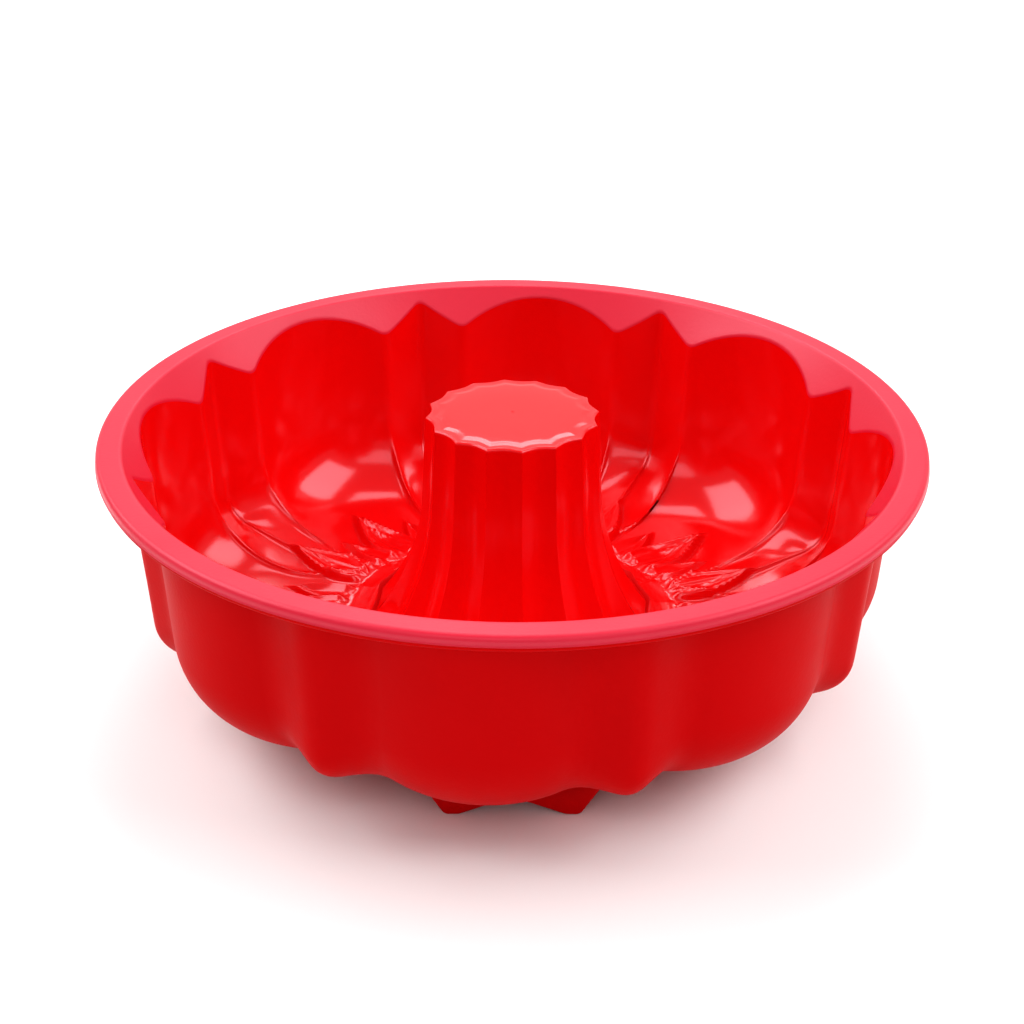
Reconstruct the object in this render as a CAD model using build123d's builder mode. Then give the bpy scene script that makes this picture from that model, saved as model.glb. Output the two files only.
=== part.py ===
from build123d import *
import os
from math import atan2, cos, degrees, radians, sin, sqrt

# Fluted ring-cake pan in silicone, 24 cm across the rim, standing on its feet.
# Millimetres, +Z up, origin on the pan's axis at the level of the feet.

# Rim bead, and the steel hoop moulded into it
RIM_RADIUS = 120.0
RIM_TOP = 82.0
RIM_WIDTH = 8.8
RIM_THICKNESS = 4.5
RIM_ROUNDING = 1.6
HOOP_WIRE_RADIUS = 1.3

# Silicone skin and floor
SKIN = 2.0
FLOOR_TOP = 11.8
FLOOR_EDGE = 66.0

# Eight pointed petals, with eight round petals between them
PETALS = 8
PITCH = 360 / PETALS
POINTED_BEARING = 17.4
POINTED_HALF_ANGLE = 7.7
POINTED_APEX = 110.4
ROUND_BEARING = POINTED_BEARING + PITCH / 2
ROUND_HALF_ANGLE = PITCH / 2 - POINTED_HALF_ANGLE

# A round petal is part of a bowl that is turned about its own upright axis
BOWL_AXIS = 67.0
BOWL_TOP_RADIUS = 43.4
BOWL_CORNER_RADIUS = 40.4
BOWL_CORNER_HEIGHT = 19.8
BOWL_FLAT_RADIUS = 20.0
CORNER_BLEND = 26.0
FLOOR_BLEND = 12.0

# Funnel-shaped collar between the petals and the bead
COLLAR_LOW_RADIUS = 104.6
COLLAR_LOW_HEIGHT = 70.8
COLLAR_BEAD_HEIGHT = RIM_TOP - 2.0
COLLAR_SKIN = 3.0

# Centre tube and its closed, scalloped cap
TUBE_TOP = 84.5
TUBE_FOOT_RADIUS = 50.0
TUBE_FLAT_RADIUS = 45.0
TUBE_NECK = (28.5, 35.0)
TUBE_FOOT_BLEND = 9.5
TUBE_NECK_BLEND = 70.0
CAP_RADIUS = 25.7
CAP_THICKNESS = 2.4
CAP_SCALLOPS = 2 * PETALS
CAP_SCALLOP_RADIUS = 8.7
CAP_SCALLOP_DEPTH = 1.2
CAP_DISH_DEPTH = 0.8

# Leaf relief that stands on the floor round the tube
LEAVES = 2 * PETALS
LEAF_LENGTH = 14.0
LEAF_WIDTH = 8.0
LEAF_HEIGHT = 1.6
LEAF_TAPER = 35.0

# Arched feet under the floor, each with two tips
FEET = 4
FOOT_BEARING = 0.5
FOOT_DISTANCE = 77.6
FOOT_WIDTH = 6.4
FOOT_TIP = 16.7
FOOT_TIP_FLAT = 4.0
FOOT_ARCH_HEIGHT = 5.8
FOOT_OUTER_RUN = 8.0
FOOT_TOP = FLOOR_TOP - 0.2

# Worked out from the driving dimensions
BEAD_BOTTOM = RIM_TOP - RIM_THICKNESS
BEAD_INNER = RIM_RADIUS - RIM_WIDTH
BEAD_CENTRE = RIM_RADIUS - RIM_WIDTH / 2
FLOOR_UNDERSIDE = FLOOR_TOP - SKIN
FILLING_BOTTOM = COLLAR_LOW_HEIGHT - RIM_WIDTH
CAP_UNDERSIDE = TUBE_TOP - CAP_THICKNESS


def upright_plane(bearing):
    """Plane through the pan's axis: local X is the radius at that bearing, local Y is height."""
    angle = radians(bearing)
    return Plane(
        origin=(0, 0, 0), x_dir=(cos(angle), sin(angle), 0), z_dir=(sin(angle), -cos(angle), 0)
    )


def valley_radius(bowl_radius):
    """Distance from the pan's axis where a circle of the bowl meets the valley."""
    along = BOWL_AXIS * cos(radians(ROUND_HALF_ANGLE))
    across = BOWL_AXIS * sin(radians(ROUND_HALF_ANGLE))
    return along + sqrt(bowl_radius**2 - across**2)


# A pointed petal is two upright flanks. Each is square to a bearing off the petal's middle.
VALLEY = valley_radius(BOWL_TOP_RADIUS)
VALLEY_X = VALLEY * cos(radians(POINTED_HALF_ANGLE))
VALLEY_Y = VALLEY * sin(radians(POINTED_HALF_ANGLE))
FLANK_ANGLE = degrees(atan2(POINTED_APEX - VALLEY_X, VALLEY_Y))
FLANK_RATIO = cos(radians(FLANK_ANGLE - POINTED_HALF_ANGLE))


def flank_distance(bowl_radius):
    """Distance of a flank from the pan's axis where it meets that circle of the bowl."""
    return FLANK_RATIO * valley_radius(bowl_radius)


def make_wedge(start, end):
    """The space between two bearings, outside the central floor."""
    reach = 2 * RIM_RADIUS
    with BuildPart() as wedge:
        with BuildSketch(Plane.XY):
            with BuildLine():
                Polyline(
                    (0, 0),
                    (reach * cos(radians(start)), reach * sin(radians(start))),
                    (reach * cos(radians(end)), reach * sin(radians(end))),
                    close=True,
                )
            make_face()
            Circle(FLOOR_EDGE, mode=Mode.SUBTRACT)
        extrude(amount=RIM_TOP)
    return wedge.part


def skin_section(bearing, top, corner, flat, end):
    """Skin of even thickness down a wall, round the bottom corner and over the floor."""
    with BuildSketch(upright_plane(bearing)) as section:
        with BuildLine():
            FilletPolyline(
                (top, BEAD_BOTTOM),
                (corner, BOWL_CORNER_HEIGHT),
                (flat, FLOOR_TOP),
                (end, FLOOR_TOP),
                radius=(CORNER_BLEND, FLOOR_BLEND),
            )
            offset(amount=SKIN, side=Side.LEFT)
        make_face()
    return section.sketch


def filled_section(bearing, top, corner, end):
    """Everything inside the outer face of a petal, over the height of the collar."""
    draft = (top - corner) / (BEAD_BOTTOM - BOWL_CORNER_HEIGHT)
    low_wall = top - draft * (BEAD_BOTTOM - FILLING_BOTTOM)
    skin_across = SKIN * sqrt(1 + draft**2)
    with BuildSketch(upright_plane(bearing)) as section:
        with BuildLine():
            Polyline(
                (end, FILLING_BOTTOM),
                (low_wall + skin_across, FILLING_BOTTOM),
                (top + skin_across, BEAD_BOTTOM),
                (end, BEAD_BOTTOM),
                close=True,
            )
        make_face()
    return section.sketch


def bowl_axis(bearing):
    """Upright axis of the bowl that a round petal is part of."""
    angle = radians(bearing)
    return Axis((BOWL_AXIS * cos(angle), BOWL_AXIS * sin(angle), 0), (0, 0, 1))


def make_funnel_space():
    """The open cone inside the collar."""
    with BuildPart() as space:
        with BuildSketch(upright_plane(0)):
            with BuildLine():
                slope = (BEAD_INNER - COLLAR_LOW_RADIUS) / (COLLAR_BEAD_HEIGHT - COLLAR_LOW_HEIGHT)
                top_radius = COLLAR_LOW_RADIUS + slope * (RIM_TOP - COLLAR_LOW_HEIGHT)
                Polyline(
                    (0, COLLAR_LOW_HEIGHT),
                    (COLLAR_LOW_RADIUS, COLLAR_LOW_HEIGHT),
                    (top_radius, RIM_TOP),
                    (0, RIM_TOP),
                    close=True,
                )
            make_face()
        revolve(axis=Axis.Z)
    return space.part


def make_bowl_sector(bearing, section):
    """A section turned about the bowl's axis, between the two valleys."""
    wedge = make_wedge(bearing - ROUND_HALF_ANGLE, bearing + ROUND_HALF_ANGLE)
    with BuildPart() as sector:
        revolve(section, axis=bowl_axis(bearing))
        add(wedge, mode=Mode.INTERSECT)
    return sector.part


def make_flank(start, end, section):
    """A section drawn out sideways, between the middle of a pointed petal and a valley."""
    wedge = make_wedge(start, end)
    with BuildPart() as flank:
        extrude(section, amount=RIM_RADIUS / 2, both=True)
        add(wedge, mode=Mode.INTERSECT)
    return flank.part


def make_pointed_pair(bearing, draw_section, distances):
    """Both flanks of a pointed petal."""
    left_section = draw_section(bearing - FLANK_ANGLE, *distances)
    right_section = draw_section(bearing + FLANK_ANGLE, *distances)
    left = make_flank(bearing - POINTED_HALF_ANGLE, bearing, left_section)
    right = make_flank(bearing, bearing + POINTED_HALF_ANGLE, right_section)
    with BuildPart() as pair:
        add(left)
        add(right)
    return pair.part


def make_round_petal(bearing, funnel_space):
    distances = (
        BOWL_AXIS + BOWL_TOP_RADIUS,
        BOWL_AXIS + BOWL_CORNER_RADIUS,
        BOWL_AXIS + BOWL_FLAT_RADIUS,
        BOWL_AXIS,
    )
    whole = make_bowl_sector(bearing, skin_section(bearing, *distances))
    with BuildPart() as petal:
        add(whole)
        add(funnel_space, mode=Mode.SUBTRACT)
    return petal.part


def make_round_filling(bearing):
    distances = (BOWL_AXIS + BOWL_TOP_RADIUS, BOWL_AXIS + BOWL_CORNER_RADIUS, BOWL_AXIS)
    return make_bowl_sector(bearing, filled_section(bearing, *distances))


def make_pointed_petal(bearing, funnel_space):
    distances = (
        flank_distance(BOWL_TOP_RADIUS),
        flank_distance(BOWL_CORNER_RADIUS),
        flank_distance(BOWL_FLAT_RADIUS),
        TUBE_FOOT_RADIUS,
    )
    whole = make_pointed_pair(bearing, skin_section, distances)
    with BuildPart() as petal:
        add(whole)
        add(funnel_space, mode=Mode.SUBTRACT)
    return petal.part


def make_pointed_filling(bearing):
    distances = (
        flank_distance(BOWL_TOP_RADIUS),
        flank_distance(BOWL_CORNER_RADIUS),
        TUBE_FOOT_RADIUS,
    )
    return make_pointed_pair(bearing, filled_section, distances)


def make_rim(fillings):
    """Bead and collar in one, with the ring-shaped space that the hoop fills."""
    with BuildPart() as rim:
        with BuildSketch(upright_plane(0)):
            with Locations((BEAD_CENTRE, RIM_TOP - RIM_THICKNESS / 2)):
                RectangleRounded(RIM_WIDTH, RIM_THICKNESS, RIM_ROUNDING)
            with BuildLine():
                Polyline(
                    (COLLAR_LOW_RADIUS, COLLAR_LOW_HEIGHT),
                    (COLLAR_LOW_RADIUS + COLLAR_SKIN, COLLAR_LOW_HEIGHT - COLLAR_SKIN / 2),
                    (BEAD_CENTRE, BEAD_BOTTOM),
                    (BEAD_CENTRE, COLLAR_BEAD_HEIGHT),
                    (BEAD_INNER, COLLAR_BEAD_HEIGHT),
                    close=True,
                )
            make_face()
            with Locations((BEAD_CENTRE, RIM_TOP - RIM_THICKNESS / 2)):
                Circle(HOOP_WIRE_RADIUS, mode=Mode.SUBTRACT)
        revolve(axis=Axis.Z)
        for filling in fillings:
            add(filling, mode=Mode.SUBTRACT)
    return rim.part


def make_hoop():
    with BuildPart() as hoop:
        with BuildSketch(upright_plane(0)):
            with Locations((BEAD_CENTRE, RIM_TOP - RIM_THICKNESS / 2)):
                Circle(HOOP_WIRE_RADIUS)
        revolve(axis=Axis.Z)
    return hoop.part


def make_floor():
    """Flat ring between the tube and the petals, with raised leaves."""
    with BuildPart() as floor:
        with BuildSketch(Plane.XY.offset(FLOOR_UNDERSIDE)):
            Circle(FLOOR_EDGE)
            Circle(TUBE_FOOT_RADIUS, mode=Mode.SUBTRACT)
        extrude(amount=SKIN)
        with BuildSketch(Plane.XY.offset(FLOOR_TOP)):
            middle = (FLOOR_EDGE + TUBE_FOOT_RADIUS) / 2
            with PolarLocations(middle, LEAVES, start_angle=POINTED_BEARING):
                Ellipse(LEAF_LENGTH / 2, LEAF_WIDTH / 2)
        extrude(amount=LEAF_HEIGHT, taper=LEAF_TAPER)
    return floor.part


def make_tube():
    with BuildPart() as tube:
        with BuildSketch(upright_plane(0)):
            with BuildLine():
                FilletPolyline(
                    (TUBE_FOOT_RADIUS, FLOOR_TOP),
                    (TUBE_FLAT_RADIUS, FLOOR_TOP),
                    TUBE_NECK,
                    (CAP_RADIUS - CAP_SCALLOP_DEPTH, CAP_UNDERSIDE),
                    radius=(TUBE_FOOT_BLEND, TUBE_NECK_BLEND),
                )
                offset(amount=SKIN, side=Side.LEFT)
            make_face()
        revolve(axis=Axis.Z)
    return tube.part


def make_tube_cap():
    dish_radius = CAP_RADIUS**2 / (2 * CAP_DISH_DEPTH)
    scallop_distance = CAP_RADIUS - CAP_SCALLOP_DEPTH + CAP_SCALLOP_RADIUS
    with BuildPart() as cap:
        with BuildSketch(Plane.XY.offset(CAP_UNDERSIDE)):
            Circle(CAP_RADIUS)
            with PolarLocations(scallop_distance, CAP_SCALLOPS, start_angle=POINTED_BEARING):
                Circle(CAP_SCALLOP_RADIUS, mode=Mode.SUBTRACT)
        extrude(amount=CAP_THICKNESS)
        with Locations((0, 0, TUBE_TOP - CAP_DISH_DEPTH + dish_radius)):
            Sphere(dish_radius, mode=Mode.SUBTRACT)
    return cap.part


def make_foot(bearing, petals):
    """Arched foot, cut to the underside of the petals that it stands under."""
    angle = radians(bearing)
    middle = Plane(
        origin=(FOOT_DISTANCE * cos(angle), FOOT_DISTANCE * sin(angle), 0),
        x_dir=(-sin(angle), cos(angle), 0),
        z_dir=(cos(angle), sin(angle), 0),
    )
    inner_tip = FOOT_TIP - FOOT_TIP_FLAT / 2
    outer_tip = FOOT_TIP + FOOT_TIP_FLAT / 2
    outer_end = outer_tip + FOOT_OUTER_RUN * FOOT_TOP / FLOOR_UNDERSIDE
    with BuildPart() as foot:
        with BuildSketch(middle):
            with BuildLine():
                Polyline(
                    (0, FOOT_ARCH_HEIGHT),
                    (inner_tip, 0),
                    (outer_tip, 0),
                    (outer_end, FOOT_TOP),
                    (-outer_end, FOOT_TOP),
                    (-outer_tip, 0),
                    (-inner_tip, 0),
                    close=True,
                )
            make_face()
        extrude(amount=FOOT_WIDTH / 2, both=True)
        for petal in petals:
            add(petal, mode=Mode.SUBTRACT)
    # The petals cut a crumb off one end, so only the largest solid is the foot
    return foot.part.solids().sort_by(SortBy.VOLUME)[-1]


def write(name, shape):
    shape.label = name
    export_step(shape, f"parts/{name}.step")


os.makedirs("parts", exist_ok=True)
funnel = make_funnel_space()
petals = []
fillings = []
for number in range(PETALS):
    turned = number * PITCH
    round_petal = make_round_petal(ROUND_BEARING + turned, funnel)
    pointed_petal = make_pointed_petal(POINTED_BEARING + turned, funnel)
    write(f"round_petal_{number + 1}", round_petal)
    write(f"pointed_petal_{number + 1}", pointed_petal)
    petals += [round_petal, pointed_petal]
    fillings += [
        make_round_filling(ROUND_BEARING + turned),
        make_pointed_filling(POINTED_BEARING + turned),
    ]
write("rim", make_rim(fillings))
write("rim_hoop", make_hoop())
write("floor", make_floor())
write("centre_tube", make_tube())
write("tube_cap", make_tube_cap())
for number in range(FEET):
    write(f"foot_{number + 1}", make_foot(FOOT_BEARING + number * 360 / FEET, petals))
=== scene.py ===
import math

import bmesh
import bpy
import numpy as np
from mathutils import Matrix, Vector
from mathutils.bvhtree import BVHTree


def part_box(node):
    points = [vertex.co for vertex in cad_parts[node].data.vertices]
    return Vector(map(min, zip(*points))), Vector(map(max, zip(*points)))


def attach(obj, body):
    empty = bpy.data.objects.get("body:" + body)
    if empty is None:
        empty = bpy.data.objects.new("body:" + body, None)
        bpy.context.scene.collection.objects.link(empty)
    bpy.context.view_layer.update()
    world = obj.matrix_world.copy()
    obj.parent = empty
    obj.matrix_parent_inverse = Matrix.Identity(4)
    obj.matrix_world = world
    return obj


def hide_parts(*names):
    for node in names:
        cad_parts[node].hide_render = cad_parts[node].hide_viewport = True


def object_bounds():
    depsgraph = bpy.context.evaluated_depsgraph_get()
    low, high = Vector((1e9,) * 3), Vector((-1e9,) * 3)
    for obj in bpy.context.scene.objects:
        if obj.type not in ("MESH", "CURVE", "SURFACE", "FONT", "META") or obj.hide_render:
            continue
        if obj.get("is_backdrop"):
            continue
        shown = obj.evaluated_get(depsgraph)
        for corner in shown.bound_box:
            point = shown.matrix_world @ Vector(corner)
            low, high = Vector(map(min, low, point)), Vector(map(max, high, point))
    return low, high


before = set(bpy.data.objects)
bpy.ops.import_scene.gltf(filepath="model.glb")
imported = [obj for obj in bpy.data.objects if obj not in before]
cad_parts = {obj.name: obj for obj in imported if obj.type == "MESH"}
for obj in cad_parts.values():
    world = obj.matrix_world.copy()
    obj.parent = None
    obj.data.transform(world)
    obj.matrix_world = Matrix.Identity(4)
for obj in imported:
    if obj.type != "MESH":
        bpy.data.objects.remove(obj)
cad_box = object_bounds()

MM = 0.001

# ---------------------------------------------------------------- sizes taken from the frame

rim_low, rim_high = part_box("rim")
cap_low, cap_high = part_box("tube_cap")
tube_low, tube_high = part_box("centre_tube")
FEET = [name for name in sorted(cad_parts) if name.startswith("foot_")]

RIM_RADIUS = (rim_high.y - rim_low.y) / 2
RIM_TOP = rim_high.z
TUBE_FOOT = (tube_high.x - tube_low.x) / 2
CAP_RADIUS = (cap_high.x - cap_low.x) / 2
CAP_TOP = cap_high.z

# ---------------------------------------------------------------- sizes of the moulding

SKIN = 2.0 * MM
RIM_WIDTH = 8.8 * MM
BEAD_THICKNESS = 4.5 * MM
BEAD_INNER = RIM_RADIUS - RIM_WIDTH
BEAD_BOTTOM = RIM_TOP - BEAD_THICKNESS
FLASH_HEIGHT = RIM_TOP - 0.62 * BEAD_THICKNESS
FLASH_DEPTH = 0.25 * MM
FLASH_STEP = 0.3 * MM
FLASH_ROUNDING = 0.1 * MM
BEAD_TOP_ROUNDING = 1.6 * MM
BEAD_EDGE_ROUNDING = 1.3 * MM
# Where the bead's curve ends: how far below its top inside, and how far past its foot outside
BROW_DEPTH = 1.5 * MM
BROW_UNDER_BEAD = 2.4 * MM

# Bearings in degrees. One pitch runs from valley to valley over a pointed and a round petal.
PETALS = 8
PITCH = 360 / PETALS
POINTED_BEARING = 17.4
POINTED_HALF = 7.7
ROUND_HALF = PITCH / 2 - POINTED_HALF
FLANK_COLUMNS = 16
ROUND_COLUMNS = (14, 52, 14)
COLUMN_PULL = 0.7

# Half-widths of the rounded creases in degrees: at the collar, and at the floor
INNER_VALLEY = (1.25, 0.22)
INNER_APEX = (1.2, 0.45)
OUTER_VALLEY = (2.6, 2.2)
OUTER_APEX = (2.4, 2.0)
# The rounding starts to grow at this height, over this span
CREASE_LOW = 24 * MM
CREASE_SPAN = 22 * MM

# A round petal is part of a bowl turned about its own axis
BOWL_AXIS = 67.0 * MM
BOWL_TOP = 43.4 * MM
BOWL_CORNER = 40.4 * MM
BOWL_END = 20.0 * MM
BOWL_BLEND = 26.0 * MM
DISH_BOTTOM = 10.4 * MM
DISH_SLOPE = 0.22
DISH_CENTRE = 5.0 * MM

# The middle of a pointed petal, from the collar down to the floor
APEX_TOP = 110.6 * MM
APEX_CORNER = 107.0 * MM
APEX_CORNER_HEIGHT = 22.5 * MM
APEX_END = 79.2 * MM
APEX_END_HEIGHT = 16.0 * MM
APEX_FOOT_HEIGHT = 14.8 * MM
APEX_BLEND = 10.0 * MM

# The funnel-shaped collar
COLLAR_LOW = 104.6 * MM
COLLAR_LOW_HEIGHT = 70.8 * MM
COLLAR_TOP_HEIGHT = RIM_TOP - 2.0 * MM
COLLAR_SLOPE = (BEAD_INNER - COLLAR_LOW) / (COLLAR_TOP_HEIGHT - COLLAR_LOW_HEIGHT)
ARCH_BLEND = 0.7 * MM

# Centre tube
TUBE_FLAT = 45.0 * MM
TUBE_NECK = (28.2 * MM, 35.0 * MM)
FLUTES = 2 * PETALS
FLUTE_DEPTH = 1.5 * MM
FLUTE_SWELL = 0.9
TUBE_FOOT_BLEND = 9.0 * MM
TUBE_NECK_BLEND = 70 * MM
TUBE_SETTLE = 12 * MM

# Cap: a dome that falls to the edge, and a fine groove inside it
CAP_DOME = 0.6 * MM
CAP_DOME_POWER = 4
CAP_EDGE = 0.9 * MM
CAP_UNDERSIDE = 2.9 * MM
CAP_GROOVE = 0.35 * MM
CAP_GROOVE_PLACE = 2.6 * MM
CAP_GROOVE_WIDTH = 0.8 * MM
CAP_HUB = 0.4 * MM

# Raised creases on the floor, which fade out towards CREASE_TOP
CREASE_RISE = 1.3 * MM
SPINE_RISE = 1.2 * MM
CREASE_WIDTH = 0.6 * MM
CREASE_TOP = 34 * MM
CREASE_FADE = 12 * MM
CREASE_REACH = 28 * MM

# Leaves in relief on the floor: length, half-width and rise
LEAF_ROOT = 51.5 * MM
LEAF_BEVEL = 2.0 * MM
LEAF_FOLD = 3.2 * MM
FOLD_WIDTH = 0.9 * MM
MIDDLE_LEAF = (36 * MM, 9.6 * MM, 2.5 * MM)
BESIDE_LEAF = (25 * MM, 6.0 * MM, 1.7 * MM)
BEHIND_LEAF = (33 * MM, 8.4 * MM, 2.1 * MM)
BESIDE_BEARING = 9.8

# Feet: distances along a foot are from its middle
FOOT_DISTANCE = 77.6 * MM
FOOT_BEARING = 0.5
FOOT_WIDTH = 6.4 * MM
FOOT_EDGE = 1.2 * MM
FOOT_TIP = 16.7 * MM
FOOT_TIP_FLAT = 4.0 * MM
FOOT_ARCH = 5.8 * MM
FOOT_END = 26.2 * MM
FOOT_END_HEIGHT = 12.2 * MM
FOOT_TIP_OUTER_ROUNDING = 2.2 * MM
FOOT_TIP_INNER_ROUNDING = 2.6 * MM
FOOT_ARCH_ROUNDING = 14 * MM
FOOT_STATIONS = 120
FOOT_EDGE_STEPS = 4
FOOT_SINK = 0.7 * MM

# Rows of the moulding's grid, from the outside of the rim to the middle of the cap
BEAD_ROWS = 40
COLLAR_ROWS = 5
ARCH_ROWS = 3
WALL_ROWS = 84
FLOOR_ROWS = 54
TUBE_ROWS = 44
CAP_ROWS = 26
DENSE = 500


# ---------------------------------------------------------------- stage, light and camera sizes

FLOOR_SIZE = 8.0
CAMERA_DISTANCE = 4.1108 * RIM_RADIUS
CAMERA_ELEVATION = 24.78
CAMERA_TILT = 62.07
CAMERA_ROLL = 0.44
LENS = 59.0
ROOM_LIGHT = 0.32
# A softbox has a name, a place, a size and a power in watts
SOFTBOXES = [
    ("softbox_front", (0, -1.03, 0.91), (1.2, 0.5), 2.7),
    ("softbox_left", (-0.84, 0.22, 0.96), (1.15, 0.8), 9.5),
    ("softbox_right", (0.88, 0.0, 0.96), (1.15, 0.8), 9.5),
    ("softbox_back", (0, 1.3, 0.64), (2.8, 1.1), 3.2),
    ("softbox_top", (0, 0.4, 1.2), (0.5, 0.35), 1.6),
    ("softbox_high", (0, 1.0, 0.97), (0.6, 0.3), 2.2),
]
LIGHT_TARGET = (0, 0, 0.04)


# ---------------------------------------------------------------- curves in the upright plane


def rounded_path(corners, radii, count):
    """Evenly spaced points on straight runs joined by tangent arcs."""
    corners = [np.array(corner, float) for corner in corners]
    dense = [corners[0][None]]
    for before, corner, after, radius in zip(corners, corners[1:], corners[2:], radii):
        back = (before - corner) / np.linalg.norm(before - corner)
        ahead = (after - corner) / np.linalg.norm(after - corner)
        half = math.acos(np.clip(back @ ahead, -1, 1)) / 2
        middle = (back + ahead) / np.linalg.norm(back + ahead)
        centre = corner + middle * radius / math.sin(half)
        first = corner + back * radius / math.tan(half) - centre
        last = corner + ahead * radius / math.tan(half) - centre
        start = math.atan2(first[1], first[0])
        turn = math.atan2(first[0] * last[1] - first[1] * last[0], first @ last)
        angles = start + turn * np.linspace(0, 1, 33)
        dense.append(centre + radius * np.stack([np.cos(angles), np.sin(angles)], 1))
    dense.append(corners[-1][None])
    return respaced(np.concatenate(dense), count)


def respaced(points, count):
    """The same line with evenly spaced points."""
    steps = np.linalg.norm(np.diff(points, axis=0), axis=1)
    along = np.concatenate([[0], np.cumsum(steps)])
    places = np.linspace(0, along[-1], count)
    return np.stack([np.interp(places, along, column) for column in points.T], 1)


def offset_path(path, distance):
    """A path moved sideways: for a path that runs down a wall, away from the pan's inside."""
    run = np.gradient(path, axis=0)
    run /= np.linalg.norm(run, axis=1, keepdims=True)
    return path + distance * np.stack([-run[:, 1], run[:, 0]], 1)


def smoothstep(value):
    value = np.clip(value, 0, 1)
    return value * value * (3 - 2 * value)


def dish_height(radius):
    """Height of the round petal's floor at a distance from the bowl's axis."""
    return DISH_BOTTOM + DISH_SLOPE * (np.sqrt(radius**2 + DISH_CENTRE**2) - DISH_CENTRE / 2)


def bowl_path():
    """Wall, corner and floor of a round petal: distance from the bowl's axis, and height."""
    corner_height = float(dish_height(BOWL_CORNER))
    draft = (BOWL_TOP - BOWL_CORNER) / (BEAD_BOTTOM - corner_height)
    top = (BOWL_TOP + draft * (RIM_TOP - BEAD_BOTTOM), RIM_TOP)
    end = (BOWL_END, float(dish_height(BOWL_END)))
    return rounded_path([top, (BOWL_CORNER, corner_height), end], [BOWL_BLEND], DENSE)


def apex_path():
    """Wall, corner and floor along the middle of a pointed petal: distance from the pan's axis."""
    draft = (APEX_TOP - APEX_CORNER) / (BEAD_BOTTOM - APEX_CORNER_HEIGHT)
    top = (APEX_TOP + draft * (RIM_TOP - BEAD_BOTTOM), RIM_TOP)
    end = (APEX_END, APEX_END_HEIGHT)
    return rounded_path([top, (APEX_CORNER, APEX_CORNER_HEIGHT), end], [APEX_BLEND], DENSE)


# ---------------------------------------------------------------- the petals


def clustered(count, pull):
    """Steps from 0 to 1, closer together at both ends."""
    even = np.linspace(0, 1, count + 1)
    return even - pull * np.sin(2 * np.pi * even) / (2 * np.pi)


def pitch_columns():
    """Bearings over one pitch, closer together at creases and flute ridges, without the last."""
    flute_ridge = 180 / FLUTES
    stops = [
        -POINTED_HALF, 0, POINTED_HALF, flute_ridge, PITCH - flute_ridge, PITCH - POINTED_HALF
    ]
    counts = [FLANK_COLUMNS, FLANK_COLUMNS, *ROUND_COLUMNS]
    stretches = [
        start + (end - start) * clustered(count, COLUMN_PULL)[:-1]
        for start, end, count in zip(stops, stops[1:], counts)
    ]
    return np.concatenate(stretches)


def petal_points(bowl, apex, bearing):
    """Points of the petal wall. bowl and apex are paths, bearing has one row for each point."""
    local = (bearing + POINTED_HALF) % PITCH - POINTED_HALF
    turned = np.radians(bearing - local)
    off = local - PITCH / 2
    along = BOWL_AXIS * np.cos(np.radians(off))
    across = BOWL_AXIS * np.sin(np.radians(off))
    reach = along + np.sqrt(np.maximum(bowl[:, :1] ** 2 - across**2, 0))
    round_x = reach * np.cos(np.radians(local))
    round_y = reach * np.sin(np.radians(local))
    half = math.radians(POINTED_HALF)
    edge_off = math.radians(ROUND_HALF)
    edge = BOWL_AXIS * math.cos(edge_off) + np.sqrt(
        bowl[:, :1] ** 2 - (BOWL_AXIS * math.sin(edge_off)) ** 2
    )
    share = np.abs(local) / POINTED_HALF
    flank_x = apex[:, :1] + share * (edge * math.cos(half) - apex[:, :1])
    flank_y = np.sign(local) * share * edge * math.sin(half)
    flank_z = apex[:, 1:] + share * (bowl[:, 1:] - apex[:, 1:])
    pointed = local <= POINTED_HALF
    x = np.where(pointed, flank_x, round_x)
    y = np.where(pointed, flank_y, round_y)
    z = np.where(pointed, flank_z, np.broadcast_to(bowl[:, 1:], local.shape))
    return np.stack(
        [x * np.cos(turned) - y * np.sin(turned), x * np.sin(turned) + y * np.cos(turned), z], -1
    )


def petal_sheet(bowl, apex, columns, valley_rounding, apex_rounding):
    """Petal wall over one pitch, its creases rounded over some degrees on each side."""
    bearings = np.broadcast_to(columns, (len(bowl), len(columns)))
    sheet = petal_points(bowl, apex, bearings)
    for crease in (-POINTED_HALF, 0, POINTED_HALF, PITCH - POINTED_HALF):
        reach = apex_rounding if crease == 0 else valley_rounding
        before = petal_points(bowl, apex, crease - reach)
        middle = petal_points(bowl, apex, np.full_like(reach, crease))
        after = petal_points(bowl, apex, crease + reach)
        share = ((bearings - crease + reach) / (2 * reach))[..., None]
        curve = (1 - share) ** 2 * before + 2 * share * (1 - share) * middle + share**2 * after
        sheet = np.where((share > 0) & (share < 1), curve, sheet)
    return sheet


def along_column(sheet, place):
    """Points of each column at fractional row numbers: place has a row for each point."""
    low = np.clip(np.floor(place).astype(int), 0, len(sheet) - 2)
    part = (place - low)[..., None]
    column = np.arange(sheet.shape[1])
    return sheet[low, column] * (1 - part) + sheet[low + 1, column] * part


def first_crossing(values):
    """Fractional row at which each column first rises through zero."""
    row = np.maximum(np.argmax(values >= 0, axis=0), 1)
    column = np.arange(values.shape[1])
    before = values[row - 1, column]
    after = values[row, column]
    return row - 1 + np.clip(-before / np.maximum(after - before, 1e-12), 0, 1)


def radius_of(points):
    return np.hypot(points[..., 0], points[..., 1])


def collar_radius(height):
    return COLLAR_LOW + COLLAR_SLOPE * (height - COLLAR_LOW_HEIGHT)


def around(radius, height, bearing):
    """Points from a distance, a height and a bearing in radians."""
    radius, height, bearing = np.broadcast_arrays(radius, height, bearing)
    return np.stack([radius * np.cos(bearing), radius * np.sin(bearing), height], -1)


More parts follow.
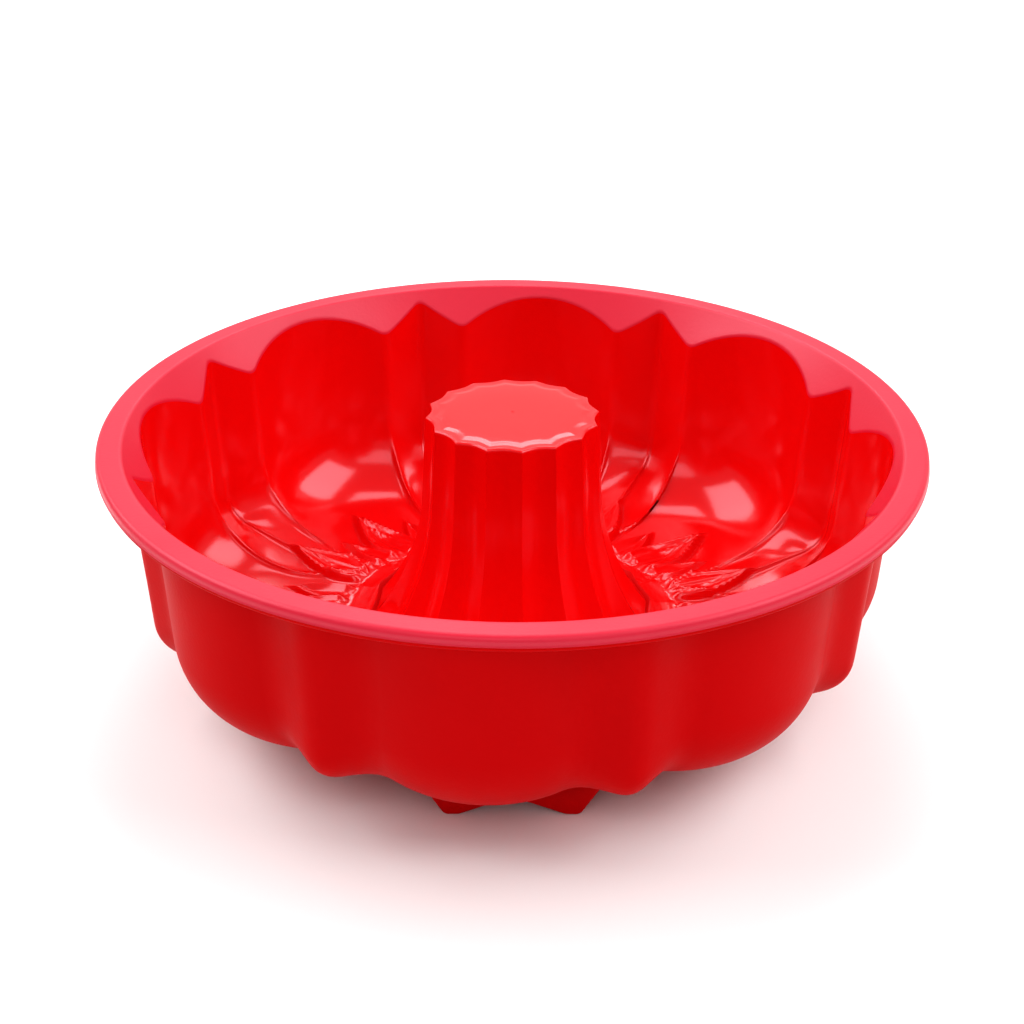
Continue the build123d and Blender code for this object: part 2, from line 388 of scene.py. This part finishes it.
def straight_rows(start, end, count):
    """Rows between two rows, without the first and with the last."""
    share = np.linspace(0, 1, count + 1)[1:, None, None]
    return start * (1 - share) + end * share


def curved_rows(start, corner, end, count):
    """Rows on a curve that leaves start and reaches end along the lines to corner."""
    share = np.linspace(0, 1, count + 1)[1:, None, None]
    return (1 - share) ** 2 * start + 2 * share * (1 - share) * corner + share**2 * end


# ---------------------------------------------------------------- the two faces of the moulding


def wall_rounding(path, high, low):
    """Half-width of a crease in degrees down a path: high at the collar, low at the floor."""
    share = smoothstep((path[:, 1:] - CREASE_LOW) / CREASE_SPAN)
    return low + (high - low) * share


def ridge(distance, width):
    """A sharp ridge, 1 at its crest."""
    return np.exp(-np.abs(distance) / width)


def blade(along, side, length, half_width, rise):
    """A raised leaf that points away from the tube, with folded edges and a sunk midrib."""
    part = np.clip(along / length, 0, 1)
    outline = half_width * (1 - part**2.2) * (0.72 + 0.28 * np.sin(np.pi * part))
    cover = smoothstep((outline - side) / LEAF_BEVEL) * (part < 1)
    inner = outline - side - LEAF_BEVEL
    folds = 0.3 * ridge(inner, FOLD_WIDTH) + 0.25 * ridge(inner - LEAF_FOLD, FOLD_WIDTH)
    hollow = 0.3 * smoothstep(inner / (3 * MM))
    midrib = 0.35 * ridge(side, FOLD_WIDTH)
    return rise * cover * (0.9 + folds - hollow - midrib)


def relief(radius, height, local):
    """How far the inner face stands out of its plain shape."""
    arc = np.radians(1) * radius
    half = POINTED_HALF * smoothstep((radius - LEAF_ROOT) / CREASE_REACH) ** 0.5
    below = smoothstep((CREASE_TOP - height) / CREASE_FADE)
    low = below * smoothstep((radius - LEAF_ROOT) / (5 * MM))
    crease = CREASE_RISE * ridge((np.abs(local) - half) * arc, CREASE_WIDTH)
    spine = SPINE_RISE * ridge(local * arc, CREASE_WIDTH)
    off = np.abs(local - PITCH / 2)
    from_tube = radius - LEAF_ROOT
    middle = blade(from_tube, off * arc, *MIDDLE_LEAF)
    beside = blade(from_tube, np.abs(off - BESIDE_BEARING) * arc, *BESIDE_LEAF)
    behind = blade(from_tube, np.abs(local) * arc, *BEHIND_LEAF)
    root = smoothstep((radius - LEAF_ROOT) / (4 * MM))
    return low * (crease + spine) + root * np.maximum(np.maximum(middle, beside), behind)


def floor_height(radius, local):
    """Height of the floor without its relief."""
    off = np.radians(local - PITCH / 2)
    to_axis = np.sqrt(radius**2 + BOWL_AXIS**2 - 2 * radius * BOWL_AXIS * np.cos(off))
    edge_off = math.radians(ROUND_HALF)
    edge_to_axis = np.sqrt(
        radius**2 + BOWL_AXIS**2 - 2 * radius * BOWL_AXIS * math.cos(edge_off)
    )
    middle = np.interp(radius, [TUBE_FOOT, APEX_END], [APEX_FOOT_HEIGHT, APEX_END_HEIGHT])
    share = np.clip(np.abs(local) / POINTED_HALF, 0, 1)
    pointed = middle + share * (dish_height(edge_to_axis) - middle)
    return np.where(np.abs(local) <= POINTED_HALF, pointed, dish_height(to_axis))


def tube_path(foot_height, offset):
    """The tube from its foot to its top: distance from the axis, and height."""
    top = (CAP_RADIUS, CAP_TOP)
    corners = [(TUBE_FOOT, foot_height), (TUBE_FLAT, foot_height), TUBE_NECK, top]
    return offset_path(rounded_path(corners, [TUBE_FOOT_BLEND, TUBE_NECK_BLEND], DENSE), offset)


def flute(local):
    """From 0 on a ridge between two flutes to 1 in the middle of a flute."""
    return np.abs(np.cos(np.radians(local * FLUTES / 2)))


def flute_depth(height):
    swell = 1 + FLUTE_SWELL * smoothstep((45 * MM - height) / (25 * MM))
    return FLUTE_DEPTH * swell * smoothstep((height - 14.5 * MM) / (9 * MM))


def face_rows(columns, inside):
    """Every row of the moulding's inner or outer face, over one pitch, middle at bearing 0."""
    bearing = np.radians(columns)
    bowl = bowl_path()
    apex = apex_path()
    if inside:
        valley_rounding = wall_rounding(bowl, *INNER_VALLEY)
        apex_rounding = wall_rounding(bowl, *INNER_APEX)
    else:
        bowl = offset_path(bowl, SKIN)
        apex = offset_path(apex, SKIN)
        valley_rounding = wall_rounding(bowl, *OUTER_VALLEY)
        apex_rounding = wall_rounding(bowl, *OUTER_APEX)
    sheet = petal_sheet(bowl, apex, columns, valley_rounding, apex_rounding)
    rows = [*bead_rows(columns, sheet, inside)]
    arch = rows.pop()
    spread = np.linspace(0, 1, WALL_ROWS + 1)[:, None]
    walls = along_column(sheet, arch + (len(sheet) - 1 - arch) * spread)
    rows.append(walls[1:])
    rows.append(floor_rows(walls[-1], columns, inside))
    rows.append(tube_rows(rows[-1][-1], columns, inside))
    rows.append(cap_rows(rows[-1][-1], bearing, inside))
    return np.concatenate(rows)


def bead_rows(columns, sheet, inside):
    """Bead, collar and arch rows, and last the fractional row of the wall where it starts."""
    bearing = np.radians(columns)
    seam = (RIM_RADIUS, FLASH_HEIGHT)
    if inside:
        brow = (collar_radius(RIM_TOP - BROW_DEPTH), RIM_TOP - BROW_DEPTH)
        corners = [(RIM_RADIUS, RIM_TOP), (collar_radius(RIM_TOP), RIM_TOP)]
        step = (RIM_RADIUS - FLASH_DEPTH, FLASH_HEIGHT + FLASH_STEP)
        radii = [FLASH_ROUNDING, BEAD_TOP_ROUNDING, BEAD_EDGE_ROUNDING]
    else:
        brow = (BEAD_INNER + BROW_UNDER_BEAD, BEAD_BOTTOM)
        corners = [(RIM_RADIUS, BEAD_BOTTOM)]
        step = (RIM_RADIUS - FLASH_DEPTH, FLASH_HEIGHT - FLASH_STEP)
        radii = [FLASH_ROUNDING, BEAD_EDGE_ROUNDING]
    path = rounded_path([seam, step, *corners, brow], radii, BEAD_ROWS + 1)
    bead = around(path[:, :1], path[:, 1:], bearing)
    thickness = 0 if inside else SKIN * math.sqrt(1 + COLLAR_SLOPE**2)
    arch = first_crossing(radius_of(sheet) - collar_radius(sheet[..., 2]) - thickness)
    if inside:
        peak = along_column(sheet, arch[None])[0]
        spacing = np.linalg.norm(sheet[1, 0] - sheet[0, 0])
        start = arch + ARCH_BLEND / spacing
        below = along_column(sheet, start[None])[0]
        rise = ARCH_BLEND / math.sqrt(1 + COLLAR_SLOPE**2)
        turned = np.arctan2(peak[:, 1], peak[:, 0])
        above = around(radius_of(peak) + COLLAR_SLOPE * rise, peak[:, 2] + rise, turned)
        yield bead
        yield straight_rows(bead[-1], above, COLLAR_ROWS)
        yield curved_rows(above, peak, below, ARCH_ROWS)
        yield start
    else:
        top = first_crossing(BEAD_BOTTOM - sheet[..., 2])
        start = np.maximum(arch, top + 4)
        corner = along_column(sheet, top[None])[0]
        reach = np.maximum(radius_of(corner), collar_radius(BEAD_BOTTOM) + thickness)
        turned = np.arctan2(corner[:, 1], corner[:, 0])
        meeting = around(reach, BEAD_BOTTOM, turned)
        below = along_column(sheet, start[None])[0]
        yield bead
        yield straight_rows(bead[-1], meeting, COLLAR_ROWS)
        yield straight_rows(meeting, below, ARCH_ROWS)
        yield start


def floor_rows(edge, columns, inside):
    """Rows over the floor, from the end of the petals to the foot of the tube."""
    share = np.linspace(0, 1, FLOOR_ROWS + 1)[1:, None]
    radius = radius_of(edge) * (1 - share) + TUBE_FOOT * share
    turned = np.arctan2(edge[:, 1], edge[:, 0]) * (1 - share) + np.radians(columns) * share
    height = floor_height(radius, columns[None])
    if not inside:
        height = height - SKIN
    start = edge[:, 2] - (floor_height(radius_of(edge), columns) - (0 if inside else SKIN))
    return around(radius, height + start * (1 - smoothstep(share * 2)), turned)


def tube_rows(edge, columns, inside):
    """Rows up the tube, from its foot to the rounded edge of the cap."""
    foot = float(np.mean(edge[:, 2]))
    path = tube_path(foot + (0 if inside else SKIN), 0 if inside else SKIN)
    stop = CAP_TOP - CAP_DOME - CAP_EDGE if inside else CAP_TOP - CAP_UNDERSIDE
    path = respaced(path[path[:, 1] <= stop], TUBE_ROWS + 1)[1:]
    depth = flute_depth(path[:, 1:])
    radius = path[:, :1] - depth * flute(columns)[None]
    settle = smoothstep(1 - (path[:, 1:] - foot) / TUBE_SETTLE)
    height = path[:, 1:] + (edge[:, 2] - foot)[None] * settle
    return around(radius, height, np.radians(columns))


def cap_rows(edge, bearing, inside):
    """Rows over the cap, from the tube to a small ring round the middle."""
    outer = radius_of(edge)
    if inside:
        turn = np.linspace(0, math.pi / 2, 5)[1:, None]
        bend_radius = outer - CAP_EDGE * (1 - np.cos(turn))
        bend_height = CAP_TOP - CAP_EDGE * (1 - np.sin(turn))
        start = bend_radius[-1]
        share = np.linspace(0, 1, CAP_ROWS - 3)[1:, None]
        flat_radius = start * (1 - share) + CAP_HUB * share
        groove = np.exp(-(((outer - flat_radius - CAP_GROOVE_PLACE) / CAP_GROOVE_WIDTH) ** 2))
        radius = np.concatenate([bend_radius, flat_radius])
        dome = CAP_DOME * (flat_radius / CAP_RADIUS) ** CAP_DOME_POWER
        top = CAP_TOP - dome - CAP_GROOVE * groove
        edge_height = bend_height - CAP_DOME * (start / CAP_RADIUS) ** CAP_DOME_POWER
        height = np.concatenate([edge_height, top])
        return around(radius, height, bearing)
    share = np.linspace(0, 1, CAP_ROWS + 1)[1:, None]
    return around(outer * (1 - share) + CAP_HUB * share, edge[:, 2] * np.ones_like(share), bearing)


def full_circle(pitch_rows):
    """Eight turned copies of one pitch, and the pan's bearing of each column's petal."""
    copies = []
    for number in range(PETALS):
        angle = math.radians(POINTED_BEARING + number * PITCH)
        turn = np.array([[math.cos(angle), math.sin(angle)], [-math.sin(angle), math.cos(angle)]])
        copy = pitch_rows.copy()
        copy[..., :2] = pitch_rows[..., :2] @ turn
        copies.append(copy)
    return np.concatenate(copies, 1)


def grid_normals(grid, upward):
    """Smooth normals of a grid that closes on itself sideways."""
    down = np.gradient(grid, axis=0)
    side = np.roll(grid, -1, axis=1) - np.roll(grid, 1, axis=1)
    normal = np.cross(side, down)
    normal /= np.maximum(np.linalg.norm(normal, axis=2, keepdims=True), 1e-12)
    return normal if upward else -normal


def raised(grid, columns):
    """The inner face with its creases and leaves, raised along its own normals."""
    local = np.tile(columns, PETALS)[None]
    radius = radius_of(grid)
    height = relief(radius, grid[..., 2], local)
    return grid + height[..., None] * grid_normals(grid, True)


# ---------------------------------------------------------------- meshes


def close_sheet(inner, outer, wrap, seam, centre):
    """Vertices and faces of a closed piece between two sheets of the same size.

    wrap: the last column meets the first. seam: both sheets share their first row.
    centre: the last rows are closed by a point in the middle.
    """
    rows, columns = inner.shape[:2]
    number = np.arange(rows * columns).reshape(rows, columns)
    over = number
    under = number + rows * columns
    points = [inner.reshape(-1, 3), outer.reshape(-1, 3)]
    if seam:
        under = under.copy()
        under[0] = over[0]
    if wrap:
        over = np.concatenate([over, over[:, :1]], 1)
        under = np.concatenate([under, under[:, :1]], 1)
    faces = quads(over) + [face[::-1] for face in quads(under)]
    if not seam:
        faces += strip(over[0][::-1], under[0][::-1])
    if not wrap:
        faces += strip(over[:, 0], under[:, 0])
        faces += strip(over[::-1, -1], under[::-1, -1])
    if centre:
        hub = 2 * rows * columns
        points += [inner[-1].mean(0)[None], outer[-1].mean(0)[None]]
        faces += [(a, b, hub) for a, b in zip(over[-1], over[-1][1:])]
        faces += [(b, a, hub + 1) for a, b in zip(under[-1], under[-1][1:])]
    else:
        faces += strip(over[-1], under[-1])
    return np.concatenate(points), faces, len(quads(over))


def quads(number):
    """Faces of a grid of vertex numbers."""
    corners = [number[:-1, :-1], number[:-1, 1:], number[1:, 1:], number[1:, :-1]]
    return [tuple(face) for face in np.stack(corners, -1).reshape(-1, 4).tolist()]


def strip(first, second):
    """Faces between two lines of vertex numbers."""
    corners = [first[:-1], first[1:], second[1:], second[:-1]]
    return [tuple(face) for face in np.stack(corners, -1).tolist()]


def add_piece(name, points, faces, inner_count, materials, normals=None):
    """A closed mesh that stands for the CAD node of its name.

    The first inner_count faces have the first of the materials, and the others the second.
    """
    mesh = bpy.data.meshes.new(name)
    mesh.from_pydata(points.tolist(), [], faces)
    bm = bmesh.new()
    bm.from_mesh(mesh)
    loose = [vertex for vertex in bm.verts if not vertex.link_faces]
    kept = np.array([bool(vertex.link_faces) for vertex in bm.verts])
    bmesh.ops.delete(bm, geom=loose, context="VERTS")
    bm.to_mesh(mesh)
    bm.free()
    mesh.shade_smooth()
    if normals is not None:
        mesh.normals_split_custom_set_from_vertices(normals[kept].tolist())
    for material in materials:
        mesh.materials.append(material)
    outside = [index >= inner_count for index in range(len(mesh.polygons))]
    mesh.polygons.foreach_set("material_index", outside)
    piece = bpy.data.objects.new(name, mesh)
    bpy.context.scene.collection.objects.link(piece)
    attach(piece, "root")
    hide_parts(name)


def add_zone(name, grids, rows, columns, materials, wrap=False, seam=False, centre=False):
    """One zone of the moulding, cut out of the two whole faces of it."""
    inner, outer, inner_normals, outer_normals = grids
    columns = np.arange(*columns) % inner.shape[1]
    rows = slice(*rows)
    sheets = (inner[rows, columns], outer[rows, columns])
    points, faces, inner_count = close_sheet(*sheets, wrap, seam, centre)
    normals = [grid[rows, columns].reshape(-1, 3) for grid in (inner_normals, outer_normals)]
    if centre:
        normals.append(np.array([[0, 0, 1.0], [0, 0, -1.0]]))
    add_piece(name, points, faces, inner_count, materials, np.concatenate(normals))


def moulding_grids():
    """The inner and the outer face of the whole moulding, with their normals."""
    columns = pitch_columns()
    inner = raised(full_circle(face_rows(columns, True)), columns)
    outer = full_circle(face_rows(columns, False))
    inner_normals = grid_normals(inner, True)
    outer_normals = grid_normals(outer, False)
    flat = around(1.0, 0.0, np.arctan2(inner[0, :, 1], inner[0, :, 0]))
    inner_normals[0] = flat
    outer_normals[0] = flat
    return inner, outer, inner_normals, outer_normals


def build_moulding(gloss, rim_with_painted_sheen, satin):
    """Every zone of the silicone moulding except its feet."""
    grids = moulding_grids()
    total = grids[0].shape[1]
    pitch = total // PETALS
    pointed = 2 * FLANK_COLUMNS
    rim_end = BEAD_ROWS + COLLAR_ROWS + ARCH_ROWS
    wall_end = rim_end + WALL_ROWS
    floor_end = wall_end + FLOOR_ROWS
    tube_end = floor_end + TUBE_ROWS
    last = len(grids[0])
    inside = (gloss, satin)
    top = (rim_with_painted_sheen, satin)
    add_zone("rim", grids, (0, rim_end + 1), (0, total), top, wrap=True, seam=True)
    for number in range(PETALS):
        first = number * pitch
        petal_rows = (rim_end, wall_end + 1)
        middle = first + pointed
        end = first + pitch
        add_zone(f"pointed_petal_{number + 1}", grids, petal_rows, (first, middle + 1), inside)
        add_zone(f"round_petal_{number + 1}", grids, petal_rows, (middle, end + 1), inside)
    add_zone("floor", grids, (wall_end, floor_end + 1), (0, total), inside, wrap=True)
    add_zone("centre_tube", grids, (floor_end, tube_end + 1), (0, total), inside, wrap=True)
    add_zone("tube_cap", grids, (tube_end, last), (0, total), inside, wrap=True, centre=True)
    return underside_tree(grids[1])


# ---------------------------------------------------------------- feet


def underside_tree(outer):
    """The moulding's underside, to find its height above a place."""
    rows, columns = outer.shape[:2]
    number = np.arange(rows * columns).reshape(rows, columns)
    number = np.concatenate([number, number[:, :1]], 1)
    return BVHTree.FromPolygons(outer.reshape(-1, 3).tolist(), quads(number))


def foot_profile():
    """Outline of a foot's lower side: distance along the foot, and height."""
    inner_tip = FOOT_TIP - FOOT_TIP_FLAT / 2
    outer_tip = FOOT_TIP + FOOT_TIP_FLAT / 2
    half = [(inner_tip, 0), (outer_tip, 0), (FOOT_END, FOOT_END_HEIGHT)]
    mirrored = [(-x, z) for x, z in reversed(half)]
    tip_radii = [FOOT_TIP_INNER_ROUNDING, FOOT_TIP_OUTER_ROUNDING]
    radii = [*reversed(tip_radii), FOOT_ARCH_ROUNDING, *tip_radii]
    return rounded_path([*mirrored, (0, FOOT_ARCH), *half], radii, FOOT_STATIONS)


def foot_section():
    """Half of a foot's rounded lower edge: distance across from the middle, and depth."""
    turn = np.linspace(0, math.pi / 2, FOOT_EDGE_STEPS + 1)
    across = FOOT_WIDTH / 2 - FOOT_EDGE + FOOT_EDGE * np.sin(turn)
    return across, FOOT_EDGE * (1 - np.cos(turn))


def build_foot(number, underside, material):
    """An arched foot whose top is sunk in the skin above it."""
    path = foot_profile()
    inward = offset_path(path, 1.0) - path
    across, depth = foot_section()
    across = np.concatenate([-across[::-1], across])
    depth = np.concatenate([depth[::-1], depth])
    lower = path[:, None] + inward[:, None] * depth[None, :, None]
    bearing = math.radians(FOOT_BEARING + 90 * number)
    out = np.array([math.cos(bearing), math.sin(bearing)])
    along = np.array([-out[1], out[0]])
    plan = out * (FOOT_DISTANCE + across[None, :, None]) + along * lower[..., :1]
    sheet = np.concatenate([plan, lower[..., 1:]], -1)
    roof = sheet.copy()
    for place in np.ndindex(roof.shape[:2]):
        start = (*roof[place][:2], -1.0)
        hit = underside.ray_cast(start, (0, 0, 1))[0]
        roof[place][2] = max(hit.z + FOOT_SINK, sheet[place][2] + FOOT_SINK / 2)
    points, faces, _ = close_sheet(roof, sheet, False, False, False)
    add_piece(f"foot_{number + 1}", points, faces, len(faces), (material,))


# ---------------------------------------------------------------- materials


def node_material(name):
    """An empty node material, and a function that adds a node with its settings."""
    material = bpy.data.materials.new(name)
    material.use_nodes = True
    tree = material.node_tree
    tree.nodes.clear()

    def add(kind, inputs=(), **settings):
        node = tree.nodes.new(kind)
        for key, value in settings.items():
            setattr(node, key, value)
        for key, value in dict(inputs).items():
            if isinstance(value, bpy.types.NodeSocket):
                tree.links.new(value, node.inputs[key])
            else:
                node.inputs[key].default_value = value
        return node

    return material, add


def silicone_material(name, red, painted_sheen, gloss, dull, sheen, grain):
    """Moulded silicone: a saturated body colour under a skin that varies in gloss.

    The third argument is painted sheen: how much green, and four times as much blue, are added to the
    red so that a surface reads pink where it would reflect the light.
    """
    material, add = node_material(name)
    place = add("ShaderNodeTexCoord").outputs["Object"]
    broad = add("ShaderNodeTexNoise", {"Vector": place, "Scale": 22.0, "Detail": 3.0})
    fine = add("ShaderNodeTexNoise", {"Vector": place, "Scale": 900.0, "Detail": 4.0})
    tint = add("ShaderNodeMix", {"Factor": broad.outputs["Fac"]}, data_type="RGBA")
    # The added green and blue are painted sheen, not the silicone's own colour.
    tint.inputs[6].default_value = (red, 0.001 + painted_sheen, 0.002 + 4 * painted_sheen, 1)
    tint.inputs[7].default_value = (0.88 * red, 0.001 + painted_sheen / 2, 0.002 + 3 * painted_sheen, 1)
    rough = add(
        "ShaderNodeMapRange",
        {
            "Value": broad.outputs["Fac"],
            "From Min": 0.3,
            "From Max": 0.7,
            "To Min": gloss,
            "To Max": dull,
        },
    )
    bump = add(
        "ShaderNodeBump",
        {"Height": fine.outputs["Fac"], "Strength": grain, "Distance": 0.0002},
    )
    skin = add(
        "ShaderNodeBsdfPrincipled",
        {
            "Base Color": tint.outputs[2],
            "Roughness": rough.outputs["Result"],
            "Normal": bump.outputs["Normal"],
            "IOR": 1.42,
            "Specular IOR Level": sheen,
            "Specular Tint": (1.0, 0.84, 0.96, 1),
        },
    )
    add("ShaderNodeOutputMaterial", {"Surface": skin.outputs["BSDF"]})
    return material


def steel_material():
    """Drawn steel wire."""
    material, add = node_material("hoop_steel")
    place = add("ShaderNodeTexCoord").outputs["Object"]
    drawn = add("ShaderNodeTexNoise", {"Vector": place, "Scale": 400.0, "Detail": 3.0})
    rough = add("ShaderNodeMapRange", {"Value": drawn.outputs["Fac"], "To Min": 0.25, "To Max": 0.45})
    skin = add(
        "ShaderNodeBsdfPrincipled",
        {"Base Color": (0.62, 0.62, 0.6, 1), "Metallic": 1.0, "Roughness": rough.outputs["Result"]},
    )
    add("ShaderNodeOutputMaterial", {"Surface": skin.outputs["BSDF"]})
    return material


def stage_material(name, color):
    material, add = node_material(name)
    skin = add("ShaderNodeBsdfPrincipled", {"Base Color": (*color, 1), "Roughness": 0.9})
    add("ShaderNodeOutputMaterial", {"Surface": skin.outputs["BSDF"]})
    return material


# ---------------------------------------------------------------- stage, light and camera


def build_floor():
    """A plain pale floor under the feet."""
    mesh = bpy.data.meshes.new("stage_floor")
    half = FLOOR_SIZE / 2
    corners = [(-half, -half, 0), (half, -half, 0), (half, half, 0), (-half, half, 0)]
    mesh.from_pydata(corners, [], [(0, 1, 2, 3)])
    mesh.materials.append(stage_material("stage_floor", (0.9, 0.9, 0.9)))
    floor = bpy.data.objects.new("stage_floor", mesh)
    bpy.context.scene.collection.objects.link(floor)
    floor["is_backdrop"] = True


def add_softbox(name, place, target, size, power):
    """A rectangular area light at place that looks at target."""
    light = bpy.data.lights.new(name, "AREA")
    light.shape = "RECTANGLE"
    light.size, light.size_y = size
    light.energy = power
    lamp = bpy.data.objects.new(name, light)
    lamp.location = place
    lamp.rotation_euler = (Vector(target) - Vector(place)).to_track_quat("-Z", "Y").to_euler()
    bpy.context.scene.collection.objects.link(lamp)


def build_light():
    """Softboxes in front, at both sides, behind and overhead, and a dim white room."""
    world = bpy.data.worlds.new("studio")
    world.use_nodes = True
    background = world.node_tree.nodes["Background"]
    background.inputs["Color"].default_value = (1, 1, 1, 1)
    background.inputs["Strength"].default_value = ROOM_LIGHT
    bpy.context.scene.world = world
    for name, place, size, power in SOFTBOXES:
        add_softbox(name, place, LIGHT_TARGET, size, power)


def build_camera():
    """The camera stands in front of the pan and looks down on it."""
    camera = bpy.data.cameras.new("camera")
    camera.lens = LENS
    camera.sensor_width = 36
    view = bpy.data.objects.new("camera", camera)
    rise = math.radians(CAMERA_ELEVATION)
    place = (0, -CAMERA_DISTANCE * math.cos(rise), RIM_TOP + CAMERA_DISTANCE * math.sin(rise))
    tilt = Matrix.Rotation(math.radians(CAMERA_TILT), 4, "X")
    roll = Matrix.Rotation(math.radians(CAMERA_ROLL), 4, "Z")
    view.matrix_world = Matrix.Translation(place) @ tilt @ roll
    bpy.context.scene.collection.objects.link(view)
    bpy.context.scene.camera = view


# ---------------------------------------------------------------- the scene


bpy.context.scene.view_settings.view_transform = "Standard"
bpy.context.scene.view_settings.look = "Medium High Contrast"
bpy.context.scene.view_settings.exposure = 0.2
build_camera()
build_floor()
build_light()

gloss = silicone_material("silicone_gloss", 0.76, 0.0, 0.12, 0.19, 0.8, 0.04)
# The rim's added green and blue are painted sheen, standing in for light reflected off the rim's top.
rim_with_painted_sheen = silicone_material("silicone_rim_painted_sheen", 0.66, 0.009, 0.36, 0.48, 0.7, 0.2)
satin = silicone_material("silicone_satin", 0.57, 0.0, 0.36, 0.5, 0.05, 0.3)
underside = build_moulding(gloss, rim_with_painted_sheen, satin)
for foot_number in range(len(FEET)):
    build_foot(foot_number, underside, satin)

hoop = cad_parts["rim_hoop"]
hoop.data.materials.clear()
hoop.data.materials.append(steel_material())

bpy.context.view_layer.update()
boxes = {"cad": cad_box, "visual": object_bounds()}
{name: [list(corner) for corner in box] for name, box in boxes.items()}
